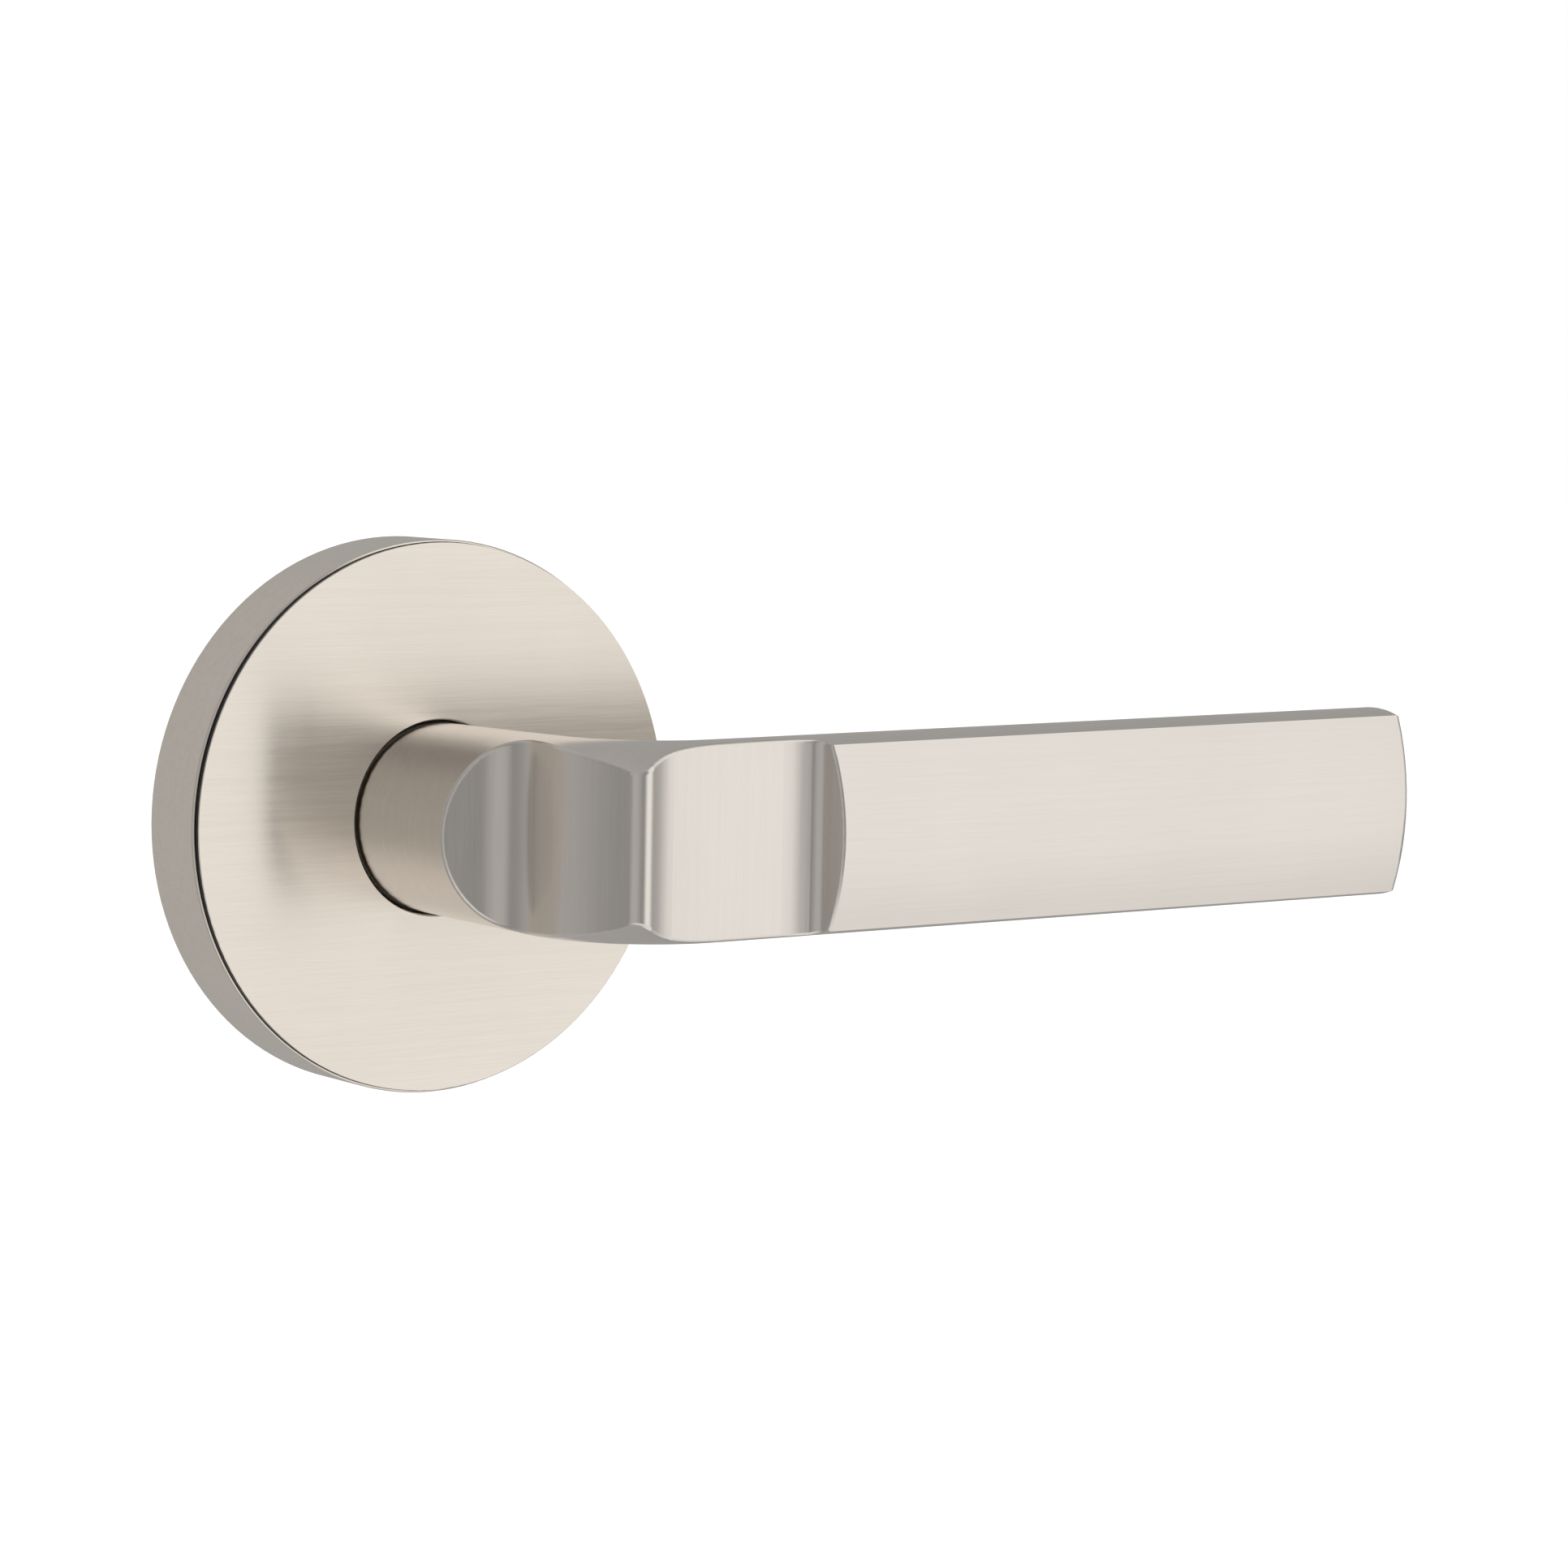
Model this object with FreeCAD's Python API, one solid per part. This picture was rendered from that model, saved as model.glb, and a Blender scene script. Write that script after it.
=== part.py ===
# Door lever handle with a round rosette and a sprung fixing plate, one side of a tubular lever set.
# Millimetres. The door face is the plane y = 0, the handle stands out along -Y, +Z is up and the
# grip points along +X. The origin is on the spindle's axis, in the plane of the door face.
import FreeCAD, Part
import math
import os

from FreeCAD import Vector

# ---------------------------------------------------------------- driving dimensions
ROSETTE_R = 33.35            # outer radius of the rosette
ROSETTE_DEPTH = 10.4         # how far the rosette stands out from the door
ROSETTE_WALL = 1.25          # sheet thickness of the rosette's side
ROSETTE_FRONT = 1.3          # sheet thickness of the rosette's front
ROSETTE_EDGE = 0.3           # rounding of the rim's edge
FACE_R = 33.02               # the face stands out from the rim as a disc of this radius
FACE_STEP = 0.8              # by this much
FACE_EDGE = 0.1              # rounding of its edge
SHANK_HOLE_R = 11.8          # hole in the rosette that the shank turns in

SHANK_R = 11.4               # rod radius at the rear end of the shank
ELBOW_R = 11.7               # rod radius round the elbow
TIP_R = 12.15                # rod radius at the free end
SHANK_END_Y = -6.0           # rear face of the shank, inside the rosette
BEND_R = 13.0                # radius of the rod's centre line round the elbow
GRIP_Y = -47.1               # centre line of the grip
GRIP_END_X = 120.6           # free end of the grip, from the spindle's axis
CROWN_R = 33.4               # section radius of the grip's broad faces
FRONT_Y = -53.3              # crown of the grip's front face
BACK_Y = -40.9               # crown of the grip's rear face
BACK_RAMP_R = 12.5           # plan radius where the rear face runs out at the elbow
BACK_RAMP_X = 27.0           # plan centre of that radius
BACK_RAMP_Y = -45.0          # how deep that radius would cut, inside the grip
TIP_EDGE = 0.9               # rounding of the grip's end
SCOOP_EDGE = 0.45            # rounding of the scoops' edges

DEEP_FLOOR = (-7.2, -30.05)  # end of the thumb scoop's floor, in plan
DEEP_FLOOR_SLOPE = 15.0      # slope of that floor towards the front, in degrees
DEEP_CORNER_R = 5.3          # corner between that floor and its wall
WALL_LENGTH = 4.0            # straight length of the wall
WALL_BOW_R = 22.0            # the wall then bows outwards
WALL_BOW_TURN = 30.0         # through this angle, up to the ridge
RIDGE_R = 2.2                # rounding of the ridge between the two scoops
RIDGE_BACK_X = -3.3          # the thumb scoop's outer rim lies left of this
RIDGE_FALL = 24.0            # the ridge falls away into the long scoop at this slope, in degrees
RIDGE_FOOT_R = 12.0          # radius of its foot
FLOOR_START_SLOPE = 7.0      # slope of the long scoop's floor there
FLOOR_END_SLOPE = 0.5        # and its slope the other way where its end corner starts
SHALLOW_END_X = 22.2         # where that corner starts
SHALLOW_EASE_R = 15.0        # it starts gently, at this radius
SHALLOW_EASE_SLOPE = 15.0    # up to this slope
SHALLOW_END_R = 2.0          # then tighter, at this radius
SHALLOW_END_SLOPE = 72.0     # slope of its end wall, in degrees

HUB_R = 8.0                  # hub sleeve inside the shank
HUB_CORE_R = 8.6             # hub inside the spring
HUB_CORE_FRONT_Y = -5.0
HUB_REAR_R = 7.5             # hub journal in the plate
HUB_REAR_Y = 9.4
HUB_END_Y = -25.0
GROOVE_R = 6.8               # groove for the retaining ring
GROOVE_FRONT_Y = 7.7
GROOVE_REAR_Y = 8.7
BORE_END_Y = -26.2           # bottom of the blind bore in the shank
FIT = 0.05                   # running clearance on a radius
SQUARE = 7.94                # side of the spindle
SPINDLE_FRONT_Y = -23.5
SPINDLE_REAR_Y = 32.0
SET_SCREW_Y = -16.0
SET_SCREW_R = 2.5
SET_SCREW_INNER_Z = -7.6     # the screw's tip, on the hub's flat
SET_SCREW_OUTER_Z = -11.0
ROLL_PIN_Y = -21.0
ROLL_PIN_R = 1.25

PLATE_R = 31.0               # fixing plate under the rosette
PLATE_FRONT_Y = -3.0
SPIGOT_R = 26.4              # boss that centres the plate in a 54 mm hole
SPIGOT_REAR_Y = 7.0
SPIGOT_WALL = 2.0
POCKET_R = 15.0              # spring pocket
POCKET_FLOOR_Y = 5.0
POCKET_WALL_R = 17.2
PLATE_BORE_R = 9.0           # hole for the rear bushing
POST_Z = 19.05               # the two threaded posts stand above and below the spindle
POST_R = 3.2
POST_HEAD_R = 4.2
POST_HEAD_FRONT_Y = -4.0
POST_BOSS_R = 5.2
POST_REAR_Y = 20.0
POST_THREAD_R = 2.1
POST_THREAD_LENGTH = 14.0
LID_R = 23.5                 # lid of the spring pocket
LID_THICKNESS = 1.2
LID_BORE_R = 10.2            # hole for the front bushing
LID_SCREW_R = 1.25
LID_SCREW_BOSS_R = 3.0
LID_SCREW_BOSS_Y = 4.0
LID_SCREW_HOLE_Y = 3.0       # bottom of the blind hole
LID_SCREW_END_Y = 2.2
LID_SCREW_CIRCLE_R = 20.0
LID_SCREW_ANGLES = (0.0, 120.0, 240.0)
CLIP_ANGLES = (30.0, 150.0, 270.0)
CLIP_OUTER_R = 31.8
CLIP_HALF_ANGLE = 8.0
CLIP_THICKNESS = 0.5
RIVET_CIRCLE_R = 28.4
RIVET_R = 0.9

COIL_R = 11.7                # mean radius of the return spring
WIRE_R = 0.75
COIL_PITCH = 1.7
COIL_REAR_Y = 2.0
COIL_FRONT_Y = -2.1
LEG_END_R = 14.3
LUG_R = 14.4                 # reach of the hub's stop lug
FINGER_R = 12.9              # inside of the finger on it that pushes the spring
FINGER_FRONT_Y = -2.7
LUG_HALF_ANGLE = 8.0
LUG_ANGLE = 180.0            # the lug at rest, opposite the grip
FLANGE_R = 9.8
FLANGE_FRONT_Y = 2.9
FLANGE_REAR_Y = 4.9
PIN_CIRCLE_R = 13.6
PIN_R = 1.0
TURN = 45.0                  # how far the handle turns, in degrees

FORWARD = Vector(0, -1, 0)   # away from the door
OVER = 1.0                   # how far a cutting tool stands past the face it cuts
PARTS = "parts"


# ---------------------------------------------------------------- helpers
def rod(radius, rear_y, front_y, x=0.0, z=0.0):
    """A round rod parallel to Y, from rear_y forward to front_y."""
    return Part.makeCylinder(radius, rear_y - front_y, Vector(x, rear_y, z), FORWARD)


def tube(outer, inner, rear_y, front_y):
    return rod(outer, rear_y, front_y).cut(rod(inner, rear_y + OVER, front_y - OVER))


def square_bar(side, rear_y, front_y):
    half = side / 2
    return Part.makeBox(side, rear_y - front_y, side, Vector(-half, front_y, -half))


def on_circle(radius, degrees):
    """x and z of a point on a circle round the spindle, counted from +X towards +Z."""
    angle = math.radians(degrees)
    return radius * math.cos(angle), radius * math.sin(angle)


def sector(outer, inner, middle, half_angle, rear_y, front_y):
    """A slice of a ring round the spindle, half_angle degrees either side of middle."""
    rim = [Vector(0, rear_y, 0)]
    reach = outer * 1.5
    for degrees in (middle - half_angle, middle + half_angle):
        x, z = on_circle(reach, degrees)
        rim.append(Vector(x, rear_y, z))
    rim.append(rim[0])
    wedge = Part.Face(Part.makePolygon(rim)).extrude(Vector(0, front_y - rear_y, 0))
    return tube(outer, inner, rear_y, front_y).common(wedge)


def fuse_all(shapes):
    whole = shapes[0]
    for shape in shapes[1:]:
        whole = whole.fuse(shape)
    return whole.removeSplitter()


def save(name, shape):
    if not shape.isValid():
        raise ValueError(name + " is not a valid shape")
    shape.exportStep(os.path.join(PARTS, name + ".step"))
    print(name, "solids", len(shape.Solids), "volume", round(shape.Volume, 1))


class PlanPath:
    """A run of lines and tangent arcs in plan (x, y), made by heading and turning."""

    HALF_HEIGHT = 30.0

    def __init__(self, x, y, heading):
        self.x = x
        self.y = y
        self.heading = math.radians(heading)
        self.edges = []

    def _point(self, x, y):
        return Vector(x, y, -self.HALF_HEIGHT)

    def line(self, length):
        x = self.x + length * math.cos(self.heading)
        y = self.y + length * math.sin(self.heading)
        self.edges.append(Part.LineSegment(self._point(self.x, self.y), self._point(x, y)).toShape())
        self.x, self.y = x, y

    def arc(self, radius, turn):
        """Turns left for a positive angle in degrees, right for a negative one."""
        side = math.copysign(1.0, turn)
        cx = self.x - side * radius * math.sin(self.heading)
        cy = self.y + side * radius * math.cos(self.heading)
        points = []
        for share in (0.5, 1.0):
            heading = self.heading + share * math.radians(turn)
            points.append((cx + side * radius * math.sin(heading), cy - side * radius * math.cos(heading)))
        middle, end = points
        arc = Part.Arc(self._point(self.x, self.y), self._point(*middle), self._point(*end))
        self.edges.append(arc.toShape())
        self.x, self.y = end
        self.heading += math.radians(turn)

    def line_to(self, x, y):
        self.edges.append(Part.LineSegment(self._point(self.x, self.y), self._point(x, y)).toShape())
        self.x, self.y = x, y

    def prism(self):
        return Part.Face(Part.Wire(self.edges)).extrude(Vector(0, 0, 2 * self.HALF_HEIGHT))


# ---------------------------------------------------------------- the handle
def bent_rod():
    """Round shank, elbow and grip, swelling slightly towards the free end."""
    bend_y = GRIP_Y + BEND_R
    shank = Part.makeCone(SHANK_R, ELBOW_R, SHANK_END_Y - bend_y, Vector(0, SHANK_END_Y, 0), FORWARD)
    grip = Part.makeCone(ELBOW_R, TIP_R, GRIP_END_X - BEND_R, Vector(BEND_R, GRIP_Y, 0), Vector(1, 0, 0))
    section = Part.Face(Part.Wire(Part.makeCircle(ELBOW_R, Vector(0, bend_y, 0), Vector(0, 1, 0))))
    elbow = section.revolve(Vector(BEND_R, bend_y, 0), Vector(0, 0, 1), 90)
    return fuse_all([shank, elbow, grip])


def crown(y_crown, side):
    """The round-faced block that the grip's broad face is cut to. side is -1 for the front."""
    axis_y = y_crown - side * CROWN_R
    start = Vector(-40.0, axis_y, 0)
    return Part.makeCylinder(CROWN_R, GRIP_END_X + OVER - start.x, start, Vector(1, 0, 0))


def scoops():
    """Everything in front of the two scoops and the ridge between them."""
    start_x = -25.0
    clear_y = -75.0
    end_wall_length = 9.0
    slope = math.radians(DEEP_FLOOR_SLOPE)
    start_y = DEEP_FLOOR[1] + (DEEP_FLOOR[0] - start_x) * math.tan(slope)
    path = PlanPath(start_x, start_y, -DEEP_FLOOR_SLOPE)
    path.line((DEEP_FLOOR[0] - start_x) / math.cos(slope))
    path.arc(DEEP_CORNER_R, DEEP_FLOOR_SLOPE - 90.0)
    path.line(WALL_LENGTH)
    path.arc(WALL_BOW_R, WALL_BOW_TURN)
    path.arc(RIDGE_R, 90.0 - WALL_BOW_TURN + RIDGE_FALL)
    path.arc(RIDGE_FOOT_R, FLOOR_START_SLOPE - RIDGE_FALL)
    # the long scoop's floor is one flat arc
    rise = math.sin(math.radians(FLOOR_START_SLOPE)) + math.sin(math.radians(FLOOR_END_SLOPE))
    path.arc((SHALLOW_END_X - path.x) / rise, -FLOOR_START_SLOPE - FLOOR_END_SLOPE)
    path.arc(SHALLOW_EASE_R, FLOOR_END_SLOPE - SHALLOW_EASE_SLOPE)
    path.arc(SHALLOW_END_R, SHALLOW_EASE_SLOPE - SHALLOW_END_SLOPE)
    path.line(end_wall_length)
    path.line_to(path.x, clear_y)
    path.line_to(start_x, clear_y)
    path.line_to(start_x, start_y)
    return path.prism()


def rear_relief():
    """What is cut away behind the grip, leaving a crowned rear face and a ramp at the elbow."""
    start_x = BACK_RAMP_X - BACK_RAMP_R
    start_y = BACK_RAMP_Y + BACK_RAMP_R
    clear_y = -20.0
    path = PlanPath(start_x, start_y, -90.0)
    path.arc(BACK_RAMP_R, 90.0)
    path.line(GRIP_END_X)
    path.line_to(path.x, clear_y)
    path.line_to(start_x, clear_y)
    path.line_to(start_x, start_y)
    return path.prism().cut(crown(BACK_Y, 1))


def scoop_rim(body):
    """Sharp edges where the scoops meet the rod's skin. The rounding runs on along tangent edges."""
    rim = []
    for edge in body.Edges:
        box = edge.BoundBox
        curved = edge.Curve.TypeId not in ("Part::GeomLine", "Part::GeomCircle")
        on_thumb_scoop = box.XMax < RIDGE_BACK_X and box.YMax < DEEP_FLOOR[1] + 3
        on_end_wall = box.YMin < FRONT_Y + 0.1 and box.XMax < GRIP_END_X / 2
        if curved and (on_thumb_scoop or on_end_wall):
            rim.append(edge)
    return rim


def lever():
    body = bent_rod()
    body = body.common(crown(FRONT_Y, -1))
    body = body.cut(rear_relief())
    tip = [e for e in body.Edges if abs(e.BoundBox.XMin - GRIP_END_X) < 0.01]
    body = body.makeFillet(TIP_EDGE, tip)
    body = body.cut(scoops())
    body = body.makeFillet(SCOOP_EDGE, scoop_rim(body))
    body = body.cut(rod(HUB_R + FIT, SHANK_END_Y + OVER, BORE_END_Y))
    screw_hole = Part.makeCylinder(SET_SCREW_R, ELBOW_R + OVER, Vector(0, SET_SCREW_Y, 0), Vector(0, 0, -1))
    return body.cut(screw_hole)


def lever_set_screw():
    """Hexagon-socket grub screw under the shank, tightened on the hub's flat."""
    start = Vector(0, SET_SCREW_Y, SET_SCREW_OUTER_Z)
    length = SET_SCREW_INNER_Z - SET_SCREW_OUTER_Z
    socket_r = 1.45
    socket_depth = 2.0
    screw = Part.makeCylinder(SET_SCREW_R, length, start, Vector(0, 0, 1))
    corners = []
    for k in range(7):
        angle = math.radians(60 * k)
        corners.append(start + Vector(socket_r * math.cos(angle), socket_r * math.sin(angle), 0))
    socket = Part.Face(Part.makePolygon(corners)).extrude(Vector(0, 0, socket_depth))
    return screw.cut(socket)


# ---------------------------------------------------------------- the turning works
def roll_pin_hole():
    return Part.makeCylinder(ROLL_PIN_R, 2 * LUG_R, Vector(-LUG_R, ROLL_PIN_Y, 0), Vector(1, 0, 0))


def drive_hub():
    """One turned piece: rear journal, flange with its stop lug and finger, core and sleeve."""
    rear = rod(HUB_REAR_R, HUB_REAR_Y, FLANGE_REAR_Y)
    flange = rod(FLANGE_R, FLANGE_REAR_Y, FLANGE_FRONT_Y)
    lug = sector(LUG_R, HUB_CORE_R, LUG_ANGLE, LUG_HALF_ANGLE, FLANGE_REAR_Y, FLANGE_FRONT_Y)
    finger = sector(LUG_R, FINGER_R, LUG_ANGLE, LUG_HALF_ANGLE, FLANGE_FRONT_Y, FINGER_FRONT_Y)
    core = rod(HUB_CORE_R, FLANGE_FRONT_Y, HUB_CORE_FRONT_Y)
    sleeve = rod(HUB_R, HUB_CORE_FRONT_Y, HUB_END_Y)
    hub = fuse_all([rear, flange, lug, finger, core, sleeve])
    hub = hub.cut(tube(HUB_REAR_R + OVER, GROOVE_R, GROOVE_REAR_Y, GROOVE_FRONT_Y))
    flat_length = 6.0
    flat_z = SET_SCREW_INNER_Z + 0.05
    flat_corner = Vector(-HUB_R, SET_SCREW_Y - flat_length / 2, flat_z - HUB_R)
    flat = Part.makeBox(2 * HUB_R, flat_length, HUB_R, flat_corner)
    square = square_bar(SQUARE + 2 * FIT, HUB_REAR_Y + OVER, HUB_END_Y - OVER)
    return hub.cut(flat).cut(roll_pin_hole()).cut(square)


def spindle():
    """Square bar with chamfered ends, cross-drilled for the roll pin."""
    end_chamfer = 0.6
    bar = square_bar(SQUARE, SPINDLE_REAR_Y, SPINDLE_FRONT_Y)
    ends = [e for e in bar.Edges if e.BoundBox.YLength < 0.01]
    return bar.makeChamfer(end_chamfer, ends).cut(roll_pin_hole())


def spindle_roll_pin():
    """Rolled from sheet, so it is a tube with a slot along it."""
    length = 15.4
    bore_r = 0.75
    slot_width = 0.3
    start = Vector(-length / 2, ROLL_PIN_Y, 0)
    along = Vector(1, 0, 0)
    bore = Part.makeCylinder(bore_r, length, start, along)
    slot = Part.makeBox(length, slot_width, 2 * ROLL_PIN_R, start - Vector(0, slot_width / 2, 0))
    return Part.makeCylinder(ROLL_PIN_R, length, start, along).cut(bore).cut(slot)


def hub_retaining_ring():
    """Open ring in the groove behind the plate, with an eye at each end."""
    outer_r = 9.2
    rear_y = 8.6
    front_y = 7.75
    gap_angle = 270.0
    gap_half_angle = 14.0
    eye_circle_r = 8.9
    eye_half_angle = 21.0
    eye_r = 1.5
    eye_hole_r = 0.6
    ring = tube(outer_r, GROOVE_R, rear_y, front_y)
    gap = sector(outer_r + OVER, GROOVE_R - OVER, gap_angle, gap_half_angle, rear_y + OVER, front_y - OVER)
    ring = ring.cut(gap)
    for side in (-1, 1):
        x, z = on_circle(eye_circle_r, gap_angle + side * eye_half_angle)
        ring = ring.fuse(rod(eye_r, rear_y, front_y, x, z))
        ring = ring.cut(rod(eye_hole_r, rear_y + OVER, front_y - OVER, x, z))
    return ring.cut(rod(GROOVE_R, rear_y + OVER, front_y - OVER))


def rear_thrust_washer():
    outer_r = 11.0
    rear_y = 7.65
    front_y = 7.05
    return tube(outer_r, HUB_REAR_R + 2 * FIT, rear_y, front_y)


def lever_thrust_washer():
    outer_r = 11.2
    clearance = 0.7
    thickness = 0.4
    return tube(outer_r, HUB_R + clearance, HUB_CORE_FRONT_Y, HUB_CORE_FRONT_Y - thickness)


def disc_spring_washer():
    """Shallow sprung cone that takes up the end play between the shank and the lid."""
    inner_r = 8.3
    outer_r = 10.9
    inner_y = -5.65
    outer_y = -5.42
    thickness = 0.3
    profile = [
        Vector(inner_r, inner_y, 0),
        Vector(outer_r, outer_y, 0),
        Vector(outer_r, outer_y - thickness, 0),
        Vector(inner_r, inner_y - thickness, 0),
        Vector(inner_r, inner_y, 0),
    ]
    return Part.Face(Part.makePolygon(profile)).revolve(Vector(0, 0, 0), Vector(0, 1, 0), 360)


# ---------------------------------------------------------------- the rosette
def rosette_cover():
    """Cup with a stepped face, a hole for the shank and a notch below for prising it off."""
    hole_chamfer = 0.15
    notch_width = 6.0
    notch_depth = 1.3
    notch_height = 3.0
    rim_y = FACE_STEP - ROSETTE_DEPTH
    shell = rod(ROSETTE_R, 0, rim_y)
    rim_edges = [e for e in shell.Edges if abs(e.BoundBox.YMax - rim_y) < 0.01]
    shell = shell.makeFillet(ROSETTE_EDGE, rim_edges)
    face = rod(FACE_R, rim_y, -ROSETTE_DEPTH)
    face_edges = [e for e in face.Edges if abs(e.BoundBox.YMax + ROSETTE_DEPTH) < 0.01]
    shell = shell.fuse(face.makeFillet(FACE_EDGE, face_edges))
    shell = shell.cut(rod(ROSETTE_R - ROSETTE_WALL, OVER, ROSETTE_FRONT - ROSETTE_DEPTH))
    shell = shell.cut(rod(SHANK_HOLE_R, OVER, -ROSETTE_DEPTH - OVER))
    hole_length = 2 * math.pi * SHANK_HOLE_R
    hole_edges = []
    for edge in shell.Edges:
        if abs(edge.BoundBox.YMax + ROSETTE_DEPTH) < 0.01 and abs(edge.Length - hole_length) < 0.1:
            hole_edges.append(edge)
    shell = shell.makeChamfer(hole_chamfer, hole_edges)
    corner = Vector(-notch_width / 2, -notch_depth, -ROSETTE_R - OVER)
    return shell.cut(Part.makeBox(notch_width, notch_depth + OVER, notch_height, corner))


def rosette_bushing():
    """Plastic ring behind the rosette's front, which keeps the shank off the metal."""
    outer_r = 14.6
    inner_r = 11.75
    rear_y = -7.7
    return tube(outer_r, inner_r, rear_y, ROSETTE_FRONT - ROSETTE_DEPTH)


# ---------------------------------------------------------------- the fixing plate
def mounting_plate():
    """Casting: a disc on the door, a ring that centres it in the hole, and the spring pocket."""
    disc = rod(PLATE_R, 0, PLATE_FRONT_Y)
    ring = tube(SPIGOT_R, SPIGOT_R - SPIGOT_WALL, SPIGOT_REAR_Y, 0)
    cup = rod(POCKET_WALL_R, SPIGOT_REAR_Y, 0)
    bosses = []
    for z in (-POST_Z, POST_Z):
        bosses.append(rod(POST_BOSS_R, SPIGOT_REAR_Y, 0, 0, z))
    for degrees in LID_SCREW_ANGLES:
        x, z = on_circle(LID_SCREW_CIRCLE_R, degrees)
        bosses.append(rod(LID_SCREW_BOSS_R, LID_SCREW_BOSS_Y, 0, x, z))
    plate = fuse_all([disc, ring, cup] + bosses)
    rear_y = SPIGOT_REAR_Y + OVER
    front_y = PLATE_FRONT_Y - OVER
    plate = plate.cut(rod(POCKET_R, POCKET_FLOOR_Y, front_y))
    plate = plate.cut(rod(PLATE_BORE_R, rear_y, front_y))
    for z in (-POST_Z, POST_Z):
        plate = plate.cut(rod(POST_R, rear_y, front_y, 0, z))
    for degrees in LID_SCREW_ANGLES:
        x, z = on_circle(LID_SCREW_CIRCLE_R, degrees)
        plate = plate.cut(rod(LID_SCREW_R, LID_SCREW_HOLE_Y, front_y, x, z))
    for degrees in CLIP_ANGLES:
        x, z = on_circle(RIVET_CIRCLE_R, degrees)
        plate = plate.cut(rod(RIVET_R, OVER, front_y, x, z))
    return plate


def mounting_posts():
    """Two threaded posts staked in the plate, for the screws from the door's other side."""
    end_chamfer = 0.5
    posts = []
    for z in (-POST_Z, POST_Z):
        head = rod(POST_HEAD_R, PLATE_FRONT_Y, POST_HEAD_FRONT_Y, 0, z)
        post = rod(POST_R, POST_REAR_Y, PLATE_FRONT_Y, 0, z).fuse(head)
        end = [e for e in post.Edges if abs(e.BoundBox.YMin - POST_REAR_Y) < 0.01]
        post = post.makeChamfer(end_chamfer, end)
        posts.append(post.cut(rod(POST_THREAD_R, POST_REAR_Y + OVER, POST_REAR_Y - POST_THREAD_LENGTH, 0, z)))
    return Part.makeCompound(posts)


def spring_pocket_lid():
    """Pressed disc with a bushing hole, clear of the posts' heads and drilled for its screws."""
    head_clearance = 0.3
    screw_hole_r = 1.6
    front_y = PLATE_FRONT_Y - LID_THICKNESS
    lid = tube(LID_R, LID_BORE_R, PLATE_FRONT_Y, front_y)
    for z in (-POST_Z, POST_Z):
        lid = lid.cut(rod(POST_HEAD_R + head_clearance, 0, front_y - OVER, 0, z))
    for degrees in LID_SCREW_ANGLES:
        x, z = on_circle(LID_SCREW_CIRCLE_R, degrees)
        lid = lid.cut(rod(screw_hole_r, 0, front_y - OVER, x, z))
    return lid


def lid_screws():
    """Pan-head screws with a cross recess."""
    head_r = 2.7
    head_height = 1.6
    head_edge = 0.6
    recess_length = 2.8
    recess_width = 0.6
    recess_depth = 0.9
    head_rear_y = PLATE_FRONT_Y - LID_THICKNESS
    head_front_y = head_rear_y - head_height
    screws = []
    for degrees in LID_SCREW_ANGLES:
        x, z = on_circle(LID_SCREW_CIRCLE_R, degrees)
        head = rod(head_r, head_rear_y, head_front_y, x, z)
        screw = rod(LID_SCREW_R, LID_SCREW_END_Y, head_rear_y, x, z).fuse(head)
        front = [e for e in screw.Edges if abs(e.BoundBox.YMax - head_front_y) < 0.01]
        screw = screw.makeFillet(head_edge, front)
        for across, up in ((recess_length, recess_width), (recess_width, recess_length)):
            corner = Vector(x - across / 2, head_front_y - OVER, z - up / 2)
            screw = screw.cut(Part.makeBox(across, recess_depth + OVER, up, corner))
        screws.append(screw)
    return Part.makeCompound(screws)


def front_bushing():
    """Plastic bush in the lid, with a flange that the handle's washer runs on."""
    flange_r = 12.0
    flange_thickness = 0.7
    flange_rear_y = PLATE_FRONT_Y - LID_THICKNESS
    bush = tube(LID_BORE_R, HUB_CORE_R + FIT, PLATE_FRONT_Y, flange_rear_y)
    flange = tube(flange_r, HUB_CORE_R + FIT, flange_rear_y, flange_rear_y - flange_thickness)
    return bush.fuse(flange).removeSplitter()


def rear_bushing():
    return tube(PLATE_BORE_R, HUB_REAR_R + FIT, SPIGOT_REAR_Y, POCKET_FLOOR_Y)


def stop_pins():
    """Pins that the hub's lug meets at rest and at full turn."""
    play = 0.8
    reach = LUG_HALF_ANGLE + math.degrees(PIN_R / PIN_CIRCLE_R) + play
    pins = []
    for degrees in (LUG_ANGLE + reach, LUG_ANGLE - TURN - reach):
        x, z = on_circle(PIN_CIRCLE_R, degrees)
        pins.append(rod(PIN_R, POCKET_FLOOR_Y, FLANGE_FRONT_Y, x, z))
    return Part.makeCompound(pins)


def spring_angles():
    """Where the spring's moving and fixed legs stand at rest, in degrees."""
    play = 0.4
    leg = math.degrees(WIRE_R / PIN_CIRCLE_R)
    moving = LUG_ANGLE - LUG_HALF_ANGLE - leg - play
    turns = (COIL_REAR_Y - COIL_FRONT_Y) / COIL_PITCH
    return moving, moving + 360.0 * turns


def spring_anchor_pin():
    """Pin that the spring's rear leg rests against."""
    play = 0.2
    front_y = 0.8
    fixed = spring_angles()[1]
    beside = math.degrees((PIN_R + WIRE_R) / PIN_CIRCLE_R) + play
    x, z = on_circle(PIN_CIRCLE_R, fixed - beside)
    return rod(PIN_R, POCKET_FLOOR_Y, front_y, x, z)


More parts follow.
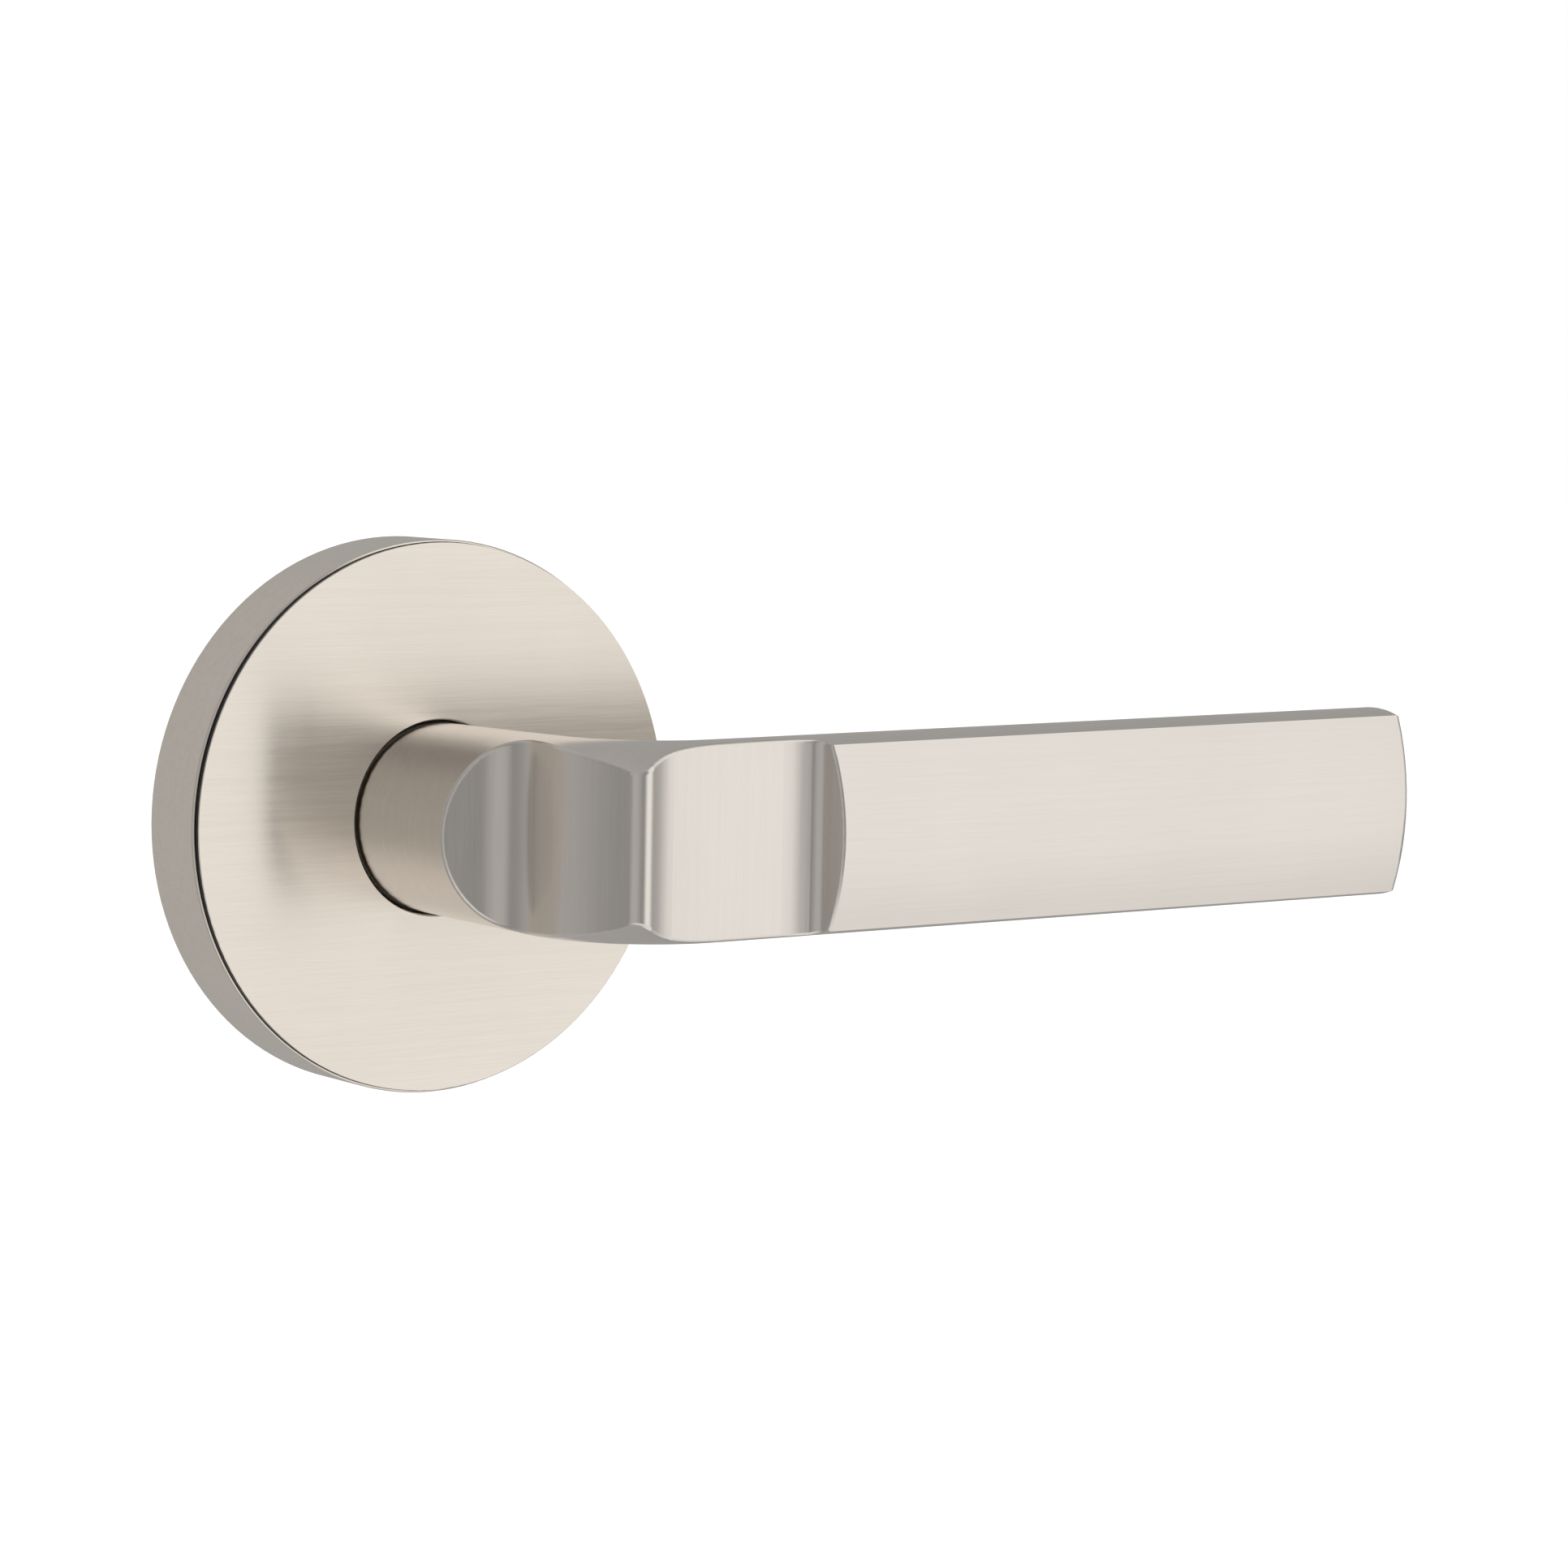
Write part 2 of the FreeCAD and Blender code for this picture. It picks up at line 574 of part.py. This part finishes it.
def return_spring():
    """Torsion spring, wound so that turning the handle closes it, with a straight leg at each end."""
    leg_root_r = COIL_R - 0.35
    leg_r = WIRE_R - 0.03
    moving, fixed = spring_angles()
    helix = Part.makeHelix(COIL_PITCH, COIL_REAR_Y - COIL_FRONT_Y, COIL_R)
    slope = COIL_PITCH / (2 * math.pi * COIL_R)
    section = Part.Wire(Part.makeCircle(WIRE_R, Vector(COIL_R, 0, 0), Vector(0, 1, slope)))
    coil = Part.Wire(helix.Edges).makePipeShell([section], True, True)
    coil.rotate(Vector(0, 0, 0), Vector(1, 0, 0), 90)
    coil = coil.mirror(Vector(0, 0, 0), Vector(0, 0, 1))
    coil.translate(Vector(0, COIL_REAR_Y, 0))
    coil.rotate(Vector(0, 0, 0), Vector(0, 1, 0), -fixed)
    for degrees, y in ((fixed, COIL_REAR_Y), (moving, COIL_FRONT_Y)):
        root_x, root_z = on_circle(leg_root_r, degrees)
        end_x, end_z = on_circle(LEG_END_R, degrees)
        outwards = Vector(end_x - root_x, 0, end_z - root_z)
        coil = coil.fuse(Part.makeCylinder(leg_r, outwards.Length, Vector(root_x, y, root_z), outwards))
    return coil


def rosette_clips():
    """Sprung steel tongues on the plate's rim that grip the rosette's inside."""
    foot_inner_r = 25.8
    tongue_front_y = -8.2
    foot_front_y = PLATE_FRONT_Y - CLIP_THICKNESS
    tongue_inner_r = CLIP_OUTER_R - CLIP_THICKNESS
    clips = []
    for degrees in CLIP_ANGLES:
        foot = sector(CLIP_OUTER_R, foot_inner_r, degrees, CLIP_HALF_ANGLE, PLATE_FRONT_Y, foot_front_y)
        tongue = sector(CLIP_OUTER_R, tongue_inner_r, degrees, CLIP_HALF_ANGLE, foot_front_y, tongue_front_y)
        x, z = on_circle(RIVET_CIRCLE_R, degrees)
        clips.append(foot.fuse(tongue).removeSplitter().cut(rod(RIVET_R, 0, foot_front_y - OVER, x, z)))
    return Part.makeCompound(clips)


def clip_rivets():
    """Round-head rivets through the clips' feet."""
    shank_end_y = -0.2
    head_r = 1.8
    head_height = 0.9
    head_edge = 0.5
    head_rear_y = PLATE_FRONT_Y - CLIP_THICKNESS
    head_front_y = head_rear_y - head_height
    rivets = []
    for degrees in CLIP_ANGLES:
        x, z = on_circle(RIVET_CIRCLE_R, degrees)
        head = rod(head_r, head_rear_y, head_front_y, x, z)
        rivet = rod(RIVET_R, shank_end_y, head_rear_y, x, z).fuse(head)
        front = [e for e in rivet.Edges if abs(e.BoundBox.YMax - head_front_y) < 0.01]
        rivets.append(rivet.makeFillet(head_edge, front))
    return Part.makeCompound(rivets)


SUB_PARTS = (
    lever,
    lever_set_screw,
    drive_hub,
    spindle,
    spindle_roll_pin,
    hub_retaining_ring,
    rear_thrust_washer,
    lever_thrust_washer,
    disc_spring_washer,
    rosette_cover,
    rosette_bushing,
    mounting_plate,
    mounting_posts,
    spring_pocket_lid,
    lid_screws,
    front_bushing,
    rear_bushing,
    stop_pins,
    spring_anchor_pin,
    return_spring,
    rosette_clips,
    clip_rivets,
)


if __name__ == "__main__":
    os.makedirs(PARTS, exist_ok=True)
    for make in SUB_PARTS:
        save(make.__name__, make())
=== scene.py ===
"""Studio scene of a satin nickel door lever handle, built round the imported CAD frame. Metres, row frame."""
import math

import bpy
from mathutils import Matrix, Vector


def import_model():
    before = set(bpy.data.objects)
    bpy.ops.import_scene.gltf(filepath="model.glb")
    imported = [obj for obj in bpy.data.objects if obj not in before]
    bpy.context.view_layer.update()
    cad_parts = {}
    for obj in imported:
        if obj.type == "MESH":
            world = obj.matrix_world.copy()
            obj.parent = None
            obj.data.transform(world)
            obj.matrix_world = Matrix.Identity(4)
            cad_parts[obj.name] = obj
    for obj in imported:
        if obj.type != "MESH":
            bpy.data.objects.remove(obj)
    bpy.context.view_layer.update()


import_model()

MM = 0.001

# ---------------------------------------------------------------- camera
CAMERA_AZIMUTH = -37.41      # degrees, 0 looks along +Y
CAMERA_ELEVATION = 5.265
CAMERA_ROLL = 1.03
CAMERA_DISTANCE = 0.575
CAMERA_TARGET = Vector((0.05991, 0.0, 0.00069))
CAMERA_LENS = 101.57
CAMERA_SENSOR = 36.0

# ---------------------------------------------------------------- colours, linear
NICKEL = (0.90, 0.835, 0.755, 1.0)
NICKEL_COOL = (0.86, 0.815, 0.765, 1.0)
STEEL = (0.56, 0.56, 0.57, 1.0)
ZINC = (0.50, 0.49, 0.47, 1.0)
SPRING = (0.36, 0.36, 0.38, 1.0)
BLACK = (0.035, 0.035, 0.038, 1.0)
NYLON = (0.72, 0.70, 0.64, 1.0)
PALE = (0.86, 0.86, 0.86, 1.0)

# ---------------------------------------------------------------- metal skin, in millimetres
SHADE_BAND = 0.06             # each side of the face disc's side wall that gets the painted shade
BRUSHED_WEAR_GLINT = 0.35          # width of the band along an edge of brushed metal that is painted lighter, partly as rubbed edges and partly as a painted highlight
CAST_WEAR_GLINT = 0.3              # and of cast or moulded skin
BRUSH_DEPTH = 0.02
PEEL_DEPTH = 0.03
COARSE_GRAIN = 0.22          # frequency of the coarse brush lines, as a share of the fine ones'

# ---------------------------------------------------------------- light
FLOOR_Z = -0.16
FLOOR_GLOW = 0.75
FLOOR_REACH = 6.0            # half the floor's width
WARMTH = (1.0, 0.99, 0.975)  # tint of the studio's light
TABLE_LEVEL = 0.80           # brightness of the table top in front of the door, seen from the handle
TABLE_EDGE = (-0.22, -0.55)  # height of the direction where the table starts and where it is full
TABLE_FRONT = (0.25, 0.7)    # how far out of the door the direction points, at its start and where it is full
# brightness of the studio's walls by azimuth in degrees: 0 is straight out of the door, 90 is +X
WALLS = (
    (-180.0, 0.42),
    (-145.0, 0.44),
    (-120.0, 0.38),
    (-95.0, 0.30),
    (-80.0, 0.28),
    (-62.0, 0.44),
    (-37.0, 0.44),
    (-20.0, 0.37),
    (-5.0, 0.27),
    (8.0, 0.26),
    (16.0, 0.45),
    (27.0, 0.88),
    (46.0, 0.93),
    (58.0, 0.80),
    (72.0, 0.42),
    (100.0, 0.33),
    (145.0, 0.38),
    (179.0, 0.42),
)


class Graph:
    """A material's node tree with short calls for the nodes used here."""

    def __init__(self, name):
        self.material = bpy.data.materials.new(name)
        self.material.use_nodes = True
        self.nodes = self.material.node_tree.nodes
        self.links = self.material.node_tree.links
        self.shader = self.nodes["Principled BSDF"]

    def node(self, kind, settings=None, **inputs):
        made = self.nodes.new(kind)
        for key, value in (settings or {}).items():
            setattr(made, key, value)
        for key, value in inputs.items():
            self.feed(made.inputs[key.replace("_", " ")], value)
        return made

    def feed(self, socket, value):
        if isinstance(value, bpy.types.NodeSocket):
            self.links.new(value, socket)
        else:
            socket.default_value = value

    def math(self, operation, first, second=0.0, clamp=False):
        made = self.nodes.new("ShaderNodeMath")
        made.operation = operation
        made.use_clamp = clamp
        self.feed(made.inputs[0], first)
        self.feed(made.inputs[1], second)
        return made.outputs[0]

    def span(self, value, low, high, to_low, to_high):
        made = self.node("ShaderNodeMapRange", None, Value=value)
        for key, number in (("From Min", low), ("From Max", high), ("To Min", to_low), ("To Max", to_high)):
            made.inputs[key].default_value = number
        return made.outputs["Result"]

    def noise(self, vector, scale, detail=3.0, roughness=0.55):
        made = self.node("ShaderNodeTexNoise", None, Vector=vector, Scale=scale, Detail=detail,
                         Roughness=roughness)
        return made.outputs["Fac"]

    def stretched(self, vector, factors):
        """Scales the coordinates in millimetres by factors, one for each axis."""
        made = self.node("ShaderNodeMapping", {"vector_type": "POINT"}, Vector=vector)
        made.inputs["Scale"].default_value = [factor / MM for factor in factors]
        return made.outputs["Vector"]

    def blend(self, share, first, second):
        made = self.nodes.new("ShaderNodeMix")
        made.data_type = "RGBA"
        self.feed(made.inputs["Factor"], share)
        self.feed(made.inputs[6], first)
        self.feed(made.inputs[7], second)
        return made.outputs[2]

    def bump(self, height, strength, distance):
        made = self.node("ShaderNodeBump", None, Height=height, Strength=strength, Distance=distance)
        return made.outputs["Normal"]

    def painted_shade_band(self, place, radius, front_y, back_y):
        """1 within a narrow band on each side of a round wall about the Y axis, 0 elsewhere: where the
        painted shade by the rosette's face disc goes.
        """
        split = self.nodes.new("ShaderNodeSeparateXYZ")
        self.feed(split.inputs[0], place)
        x, y, z = split.outputs
        across = self.math("SQRT", self.math("ADD", self.math("MULTIPLY", x, x), self.math("MULTIPLY", z, z)))
        gap = self.math("ABSOLUTE", self.math("SUBTRACT", across, radius * MM))
        on_wall = self.math("LESS_THAN", gap, SHADE_BAND * MM)
        behind_front = self.math("GREATER_THAN", y, front_y * MM)
        before_back = self.math("LESS_THAN", y, back_y * MM)
        return self.math("MULTIPLY", on_wall, self.math("MULTIPLY", behind_front, before_back))

    def edge(self, radius):
        """1 on a convex or concave edge within radius, 0 on flat ground."""
        bevel = self.node("ShaderNodeBevel", {"samples": 4}, Radius=radius)
        geometry = self.nodes.new("ShaderNodeNewGeometry")
        dot = self.nodes.new("ShaderNodeVectorMath")
        dot.operation = "DOT_PRODUCT"
        self.feed(dot.inputs[0], bevel.outputs["Normal"])
        self.feed(dot.inputs[1], geometry.outputs["Normal"])
        return self.span(dot.outputs["Value"], 0.995, 0.90, 0.0, 1.0)


def tinted(colour, factor):
    return tuple(min(channel * factor, 1.0) for channel in colour[:3]) + (1.0,)


def brushed(name, colour, roughness, across, spread, anisotropy=0.0, tangent=None, strength=0.18, groove_shade=None,
            scoops=None):
    """Brushed metal. across gives the grain's frequency per millimetre along each axis.

    The painted shade ring (radius, front y, back y), in millimetres, is a round wall about the Y axis painted
    black: painted shade standing in for the shadow in the gap round the rosette's face disc.
    scoops (x, across) is another grain for everything left of x, in millimetres."""
    g = Graph(name)
    place = g.node("ShaderNodeTexCoord").outputs["Object"]
    grain = g.noise(g.stretched(place, across), 1.0, 4.0, 0.62)
    long_grain = g.noise(g.stretched(place, [f * COARSE_GRAIN for f in across]), 1.0, 2.0)
    if scoops is not None:
        end_x, cross_grain = scoops
        split = g.nodes.new("ShaderNodeSeparateXYZ")
        g.feed(split.inputs[0], place)
        left = g.math("LESS_THAN", split.outputs["X"], end_x * MM)
        right = g.math("SUBTRACT", 1.0, left)
        grain = g.math("ADD", g.math("MULTIPLY", grain, right),
                       g.math("MULTIPLY", g.noise(g.stretched(place, cross_grain), 1.0, 4.0, 0.62), left))
        coarse = g.noise(g.stretched(place, [f * COARSE_GRAIN for f in cross_grain]), 1.0, 2.0)
        long_grain = g.math("ADD", g.math("MULTIPLY", long_grain, right), g.math("MULTIPLY", coarse, left))
    cloud = g.noise(g.stretched(place, (0.05, 0.05, 0.05)), 1.0, 2.0)
    wear_and_glint = g.edge(BRUSHED_WEAR_GLINT * MM)
    streaks = g.math("ADD", g.math("MULTIPLY", grain, 0.6), g.math("MULTIPLY", long_grain, 0.4))
    tone = g.math("ADD", g.math("MULTIPLY", streaks, 0.75), g.math("MULTIPLY", cloud, 0.25))
    base = g.blend(g.span(tone, 0.35, 0.65, 0.0, 1.0), tinted(colour, 1 - spread), tinted(colour, 1 + spread))
    # edges painted lighter: partly rubbed edges, partly a painted highlight
    base = g.blend(g.math("MULTIPLY", wear_and_glint, 0.25), base, tinted(colour, 1.12))
    if groove_shade is not None:
        # painted shade: the face disc's side wall in the gap by the rim is painted black for the shadow there
        base = g.blend(g.painted_shade_band(place, *groove_shade), base, BLACK)
    g.feed(g.shader.inputs["Base Color"], base)
    g.shader.inputs["Metallic"].default_value = 1.0
    rough = g.span(streaks, 0.3, 0.7, roughness * 0.88, roughness * 1.12)
    rough = g.math("SUBTRACT", rough, g.math("MULTIPLY", wear_and_glint, roughness * 0.2))
    g.feed(g.shader.inputs["Roughness"], rough)
    g.shader.inputs["Anisotropic"].default_value = anisotropy
    g.feed(g.shader.inputs["Normal"], g.bump(streaks, strength, BRUSH_DEPTH * MM))
    if tangent is not None:
        local = g.node("ShaderNodeVectorTransform", {"vector_type": "VECTOR", "convert_from": "OBJECT",
                                                    "convert_to": "WORLD"})
        local.inputs[0].default_value = tangent
        g.feed(g.shader.inputs["Tangent"], local.outputs[0])
    return g.material


def cast(name, colour, roughness, spread, metallic=1.0, strength=0.25):
    """A cast, plated or moulded skin: fine orange peel, patchy tone, edges painted brighter, partly as rubbed
    edges and partly as a painted highlight.
    """
    g = Graph(name)
    place = g.node("ShaderNodeTexCoord").outputs["Object"]
    peel = g.noise(g.stretched(place, (2.2, 2.2, 2.2)), 1.0, 4.0)
    patch = g.noise(g.stretched(place, (0.18, 0.18, 0.18)), 1.0, 3.0)
    wear_and_glint = g.edge(CAST_WEAR_GLINT * MM)
    tone = g.math("ADD", g.math("MULTIPLY", peel, 0.35), g.math("MULTIPLY", patch, 0.65))
    base = g.blend(g.span(tone, 0.35, 0.65, 0.0, 1.0), tinted(colour, 1 - spread), tinted(colour, 1 + spread))
    # edges painted brighter: partly rubbed edges, partly a painted highlight
    base = g.blend(g.math("MULTIPLY", wear_and_glint, 0.5), base, tinted(colour, 1.35))
    g.feed(g.shader.inputs["Base Color"], base)
    g.shader.inputs["Metallic"].default_value = metallic
    g.feed(g.shader.inputs["Roughness"], g.span(tone, 0.3, 0.7, roughness * 0.8, roughness * 1.2))
    g.feed(g.shader.inputs["Normal"], g.bump(peel, strength, PEEL_DEPTH * MM))
    return g.material


LENGTHWISE = (0.12, 7.0, 7.0)
LEVEL = (0.1, 5.0, 5.0)
UPRIGHT = (5.0, 5.0, 0.12)
ALONG_Z = (0.0, 0.0, 1.0)    # tangent of the brush lines' highlights
SCOOPS_END = 28.6            # the crest of the long scoop's end wall, along X
GROOVE_SHADE_WALL = (33.02, -10.31, -9.55)   # the face disc of the rosette stands out of its rim here; its side wall there is painted black as painted shade
ROUND_Y = (6.0, 6.0, 6.0)

FINISHES = {
    "rosette": brushed("rosette_nickel", NICKEL, 0.2, LEVEL, 0.05, 0.85, ALONG_Z, 0.25, GROOVE_SHADE_WALL),
    "lever": brushed("lever_nickel", NICKEL_COOL, 0.24, LENGTHWISE, 0.035, 0.3, ALONG_Z, 0.14,
                     scoops=(SCOOPS_END, UPRIGHT)),
    "plated_steel": brushed("plated_steel", STEEL, 0.32, ROUND_Y, 0.08),
    "cast_zinc": cast("cast_zinc", ZINC, 0.5, 0.12),
    "spring_steel": brushed("spring_steel", SPRING, 0.3, ROUND_Y, 0.12),
    "black_steel": cast("black_steel", BLACK, 0.42, 0.3),
    "nylon": cast("nylon", NYLON, 0.45, 0.04, 0.0, 0.15),
}
NODE_FINISH = {
    "lever": "lever",
    "rosette_cover": "rosette",
    "lever_set_screw": "black_steel",
    "drive_hub": "plated_steel",
    "spindle": "plated_steel",
    "spindle_roll_pin": "spring_steel",
    "hub_retaining_ring": "spring_steel",
    "rear_thrust_washer": "plated_steel",
    "lever_thrust_washer": "nylon",
    "disc_spring_washer": "spring_steel",
    "rosette_bushing": "nylon",
    "mounting_plate": "cast_zinc",
    "mounting_posts": "plated_steel",
    "spring_pocket_lid": "plated_steel",
    "lid_screws": "plated_steel",
    "front_bushing": "nylon",
    "rear_bushing": "nylon",
    "stop_pins": "spring_steel",
    "spring_anchor_pin": "spring_steel",
    "return_spring": "spring_steel",
    "rosette_clips": "spring_steel",
    "clip_rivets": "plated_steel",
}
for node_name, finish in NODE_FINISH.items():
    node_object = bpy.data.objects[node_name]
    node_object.data.materials.clear()
    node_object.data.materials.append(FINISHES[finish])


# ---------------------------------------------------------------- studio
def floor():
    """A lit table that only the camera sees: the metal reflects the studio round it instead."""
    g = Graph("pale_floor")
    place = g.node("ShaderNodeTexCoord").outputs["Object"]
    g.feed(g.shader.inputs["Base Color"], g.blend(g.noise(place, 3.0), PALE, tinted(PALE, 1.04)))
    g.shader.inputs["Roughness"].default_value = 0.9
    g.shader.inputs["Emission Color"].default_value = (1.0, 1.0, 1.0, 1.0)
    g.shader.inputs["Emission Strength"].default_value = FLOOR_GLOW
    mesh = bpy.data.meshes.new("floor")
    turns = ((-1, -1), (1, -1), (1, 1), (-1, 1))
    corners = [(FLOOR_REACH * x, FLOOR_REACH * y, FLOOR_Z) for x, y in turns]
    mesh.from_pydata(corners, [], [(0, 1, 2, 3)])
    mesh.materials.append(g.material)
    plane = bpy.data.objects.new("floor", mesh)
    plane.visible_glossy = False
    bpy.context.collection.objects.link(plane)


def world():
    """White to the camera. To everything else, soft grey walls, brightest on the right of the door's normal,
    and a bright table below and in front."""
    made = bpy.data.worlds.new("studio")
    made.use_nodes = True
    nodes, links = made.node_tree.nodes, made.node_tree.links
    backdrop = nodes["Background"]
    backdrop.inputs["Color"].default_value = (1.0, 1.0, 1.0, 1.0)
    walls = nodes.new("ShaderNodeBackground")
    direction = nodes.new("ShaderNodeTexCoord").outputs["Generated"]
    split = nodes.new("ShaderNodeSeparateXYZ")
    links.new(direction, split.inputs[0])
    flip = nodes.new("ShaderNodeMath")
    flip.operation = "MULTIPLY"
    flip.inputs[1].default_value = -1.0
    links.new(split.outputs["Y"], flip.inputs[0])
    turn = nodes.new("ShaderNodeMath")
    turn.operation = "ARCTAN2"
    links.new(split.outputs["X"], turn.inputs[0])
    links.new(flip.outputs[0], turn.inputs[1])
    round_share = nodes.new("ShaderNodeMapRange")
    round_share.inputs["From Min"].default_value = -math.pi
    round_share.inputs["From Max"].default_value = math.pi
    links.new(turn.outputs[0], round_share.inputs["Value"])
    ramp = nodes.new("ShaderNodeValToRGB")
    links.new(round_share.outputs["Result"], ramp.inputs["Fac"])
    stops = ramp.color_ramp.elements
    while len(stops) > 1:
        stops.remove(stops[-1])
    for index, (azimuth, level) in enumerate(WALLS):
        position = (azimuth + 180.0) / 360.0
        stop = stops[0] if index == 0 else stops.new(position)
        stop.position = position
        stop.color = tinted([level * share for share in WARMTH], 1.0)
    below = nodes.new("ShaderNodeMapRange")
    below.interpolation_type = "SMOOTHSTEP"
    below.inputs["From Min"].default_value, below.inputs["From Max"].default_value = TABLE_EDGE
    links.new(split.outputs["Z"], below.inputs["Value"])
    front = nodes.new("ShaderNodeMapRange")
    front.interpolation_type = "SMOOTHSTEP"
    front.inputs["From Min"].default_value, front.inputs["From Max"].default_value = TABLE_FRONT
    links.new(flip.outputs[0], front.inputs["Value"])
    on_table = nodes.new("ShaderNodeMath")
    on_table.operation = "MULTIPLY"
    links.new(below.outputs["Result"], on_table.inputs[0])
    links.new(front.outputs["Result"], on_table.inputs[1])
    tone = nodes.new("ShaderNodeMix")
    tone.data_type = "RGBA"
    links.new(on_table.outputs[0], tone.inputs["Factor"])
    links.new(ramp.outputs["Color"], tone.inputs[6])
    tone.inputs[7].default_value = tinted([TABLE_LEVEL * share for share in WARMTH], 1.0)
    links.new(tone.outputs[2], walls.inputs["Color"])
    path = nodes.new("ShaderNodeLightPath")
    mix = nodes.new("ShaderNodeMixShader")
    links.new(path.outputs["Is Camera Ray"], mix.inputs[0])
    links.new(walls.outputs[0], mix.inputs[1])
    links.new(backdrop.outputs[0], mix.inputs[2])
    links.new(mix.outputs[0], nodes["World Output"].inputs["Surface"])
    bpy.context.scene.world = made


def camera():
    a, e, r = (math.radians(x) for x in (CAMERA_AZIMUTH, CAMERA_ELEVATION, CAMERA_ROLL))
    back = Vector((math.sin(a) * math.cos(e), -math.cos(a) * math.cos(e), math.sin(e)))
    right = (-back).cross(Vector((0, 0, 1))).normalized()
    up = right.cross(-back)
    right, up = right * math.cos(r) + up * math.sin(r), up * math.cos(r) - right * math.sin(r)
    data = bpy.data.cameras.new("camera")
    data.lens = CAMERA_LENS
    data.sensor_width = CAMERA_SENSOR
    data.clip_start = 0.01
    made = bpy.data.objects.new("camera", data)
    turn = Matrix((right, up, back)).transposed().to_4x4()
    made.matrix_world = Matrix.Translation(CAMERA_TARGET + back * CAMERA_DISTANCE) @ turn
    bpy.context.collection.objects.link(made)
    bpy.context.scene.camera = made


bpy.context.scene.view_settings.view_transform = "Standard"
floor()
world()
camera()
